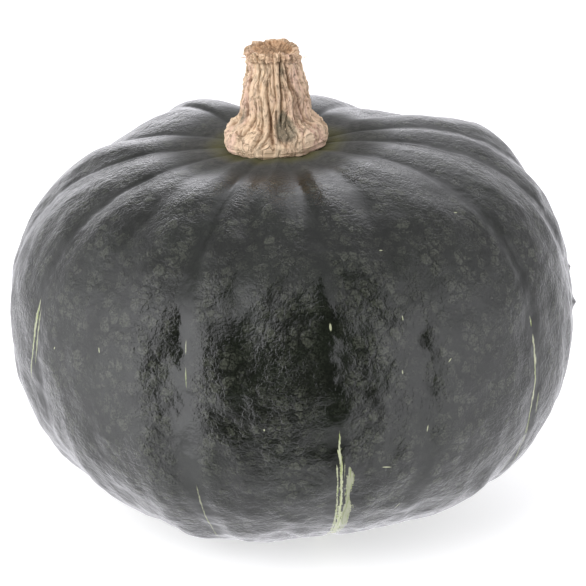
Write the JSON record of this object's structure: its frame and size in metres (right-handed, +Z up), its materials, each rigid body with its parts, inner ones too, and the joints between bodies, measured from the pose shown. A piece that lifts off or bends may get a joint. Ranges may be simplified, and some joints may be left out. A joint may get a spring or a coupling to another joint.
{
  "type": "buttercup squash",
  "caption": "Whole squat round winter squash with shallow lobes, a hollow at the crown and the corky cut stem standing in it.",
  "frame": {"origin": "on the surface that the squash stands on, below the middle of the fruit", "axes": "+Z up, -Y towards the front, +X to the right of the front; the fruit's own axis leans 3.5 degrees towards -X"},
  "size_m": [0.1812, 0.181, 0.1522],
  "materials": {
    "rind": "waxy very dark green skin with a soft gloss, mottled, with thin pale green streaks in some furrows",
    "cork": "dry matte tan cork with long ridges and cracks"
  },
  "bodies": {
    "root": {"fruit": "rind", "stem": "cork"}
  },
  "joints": []
}
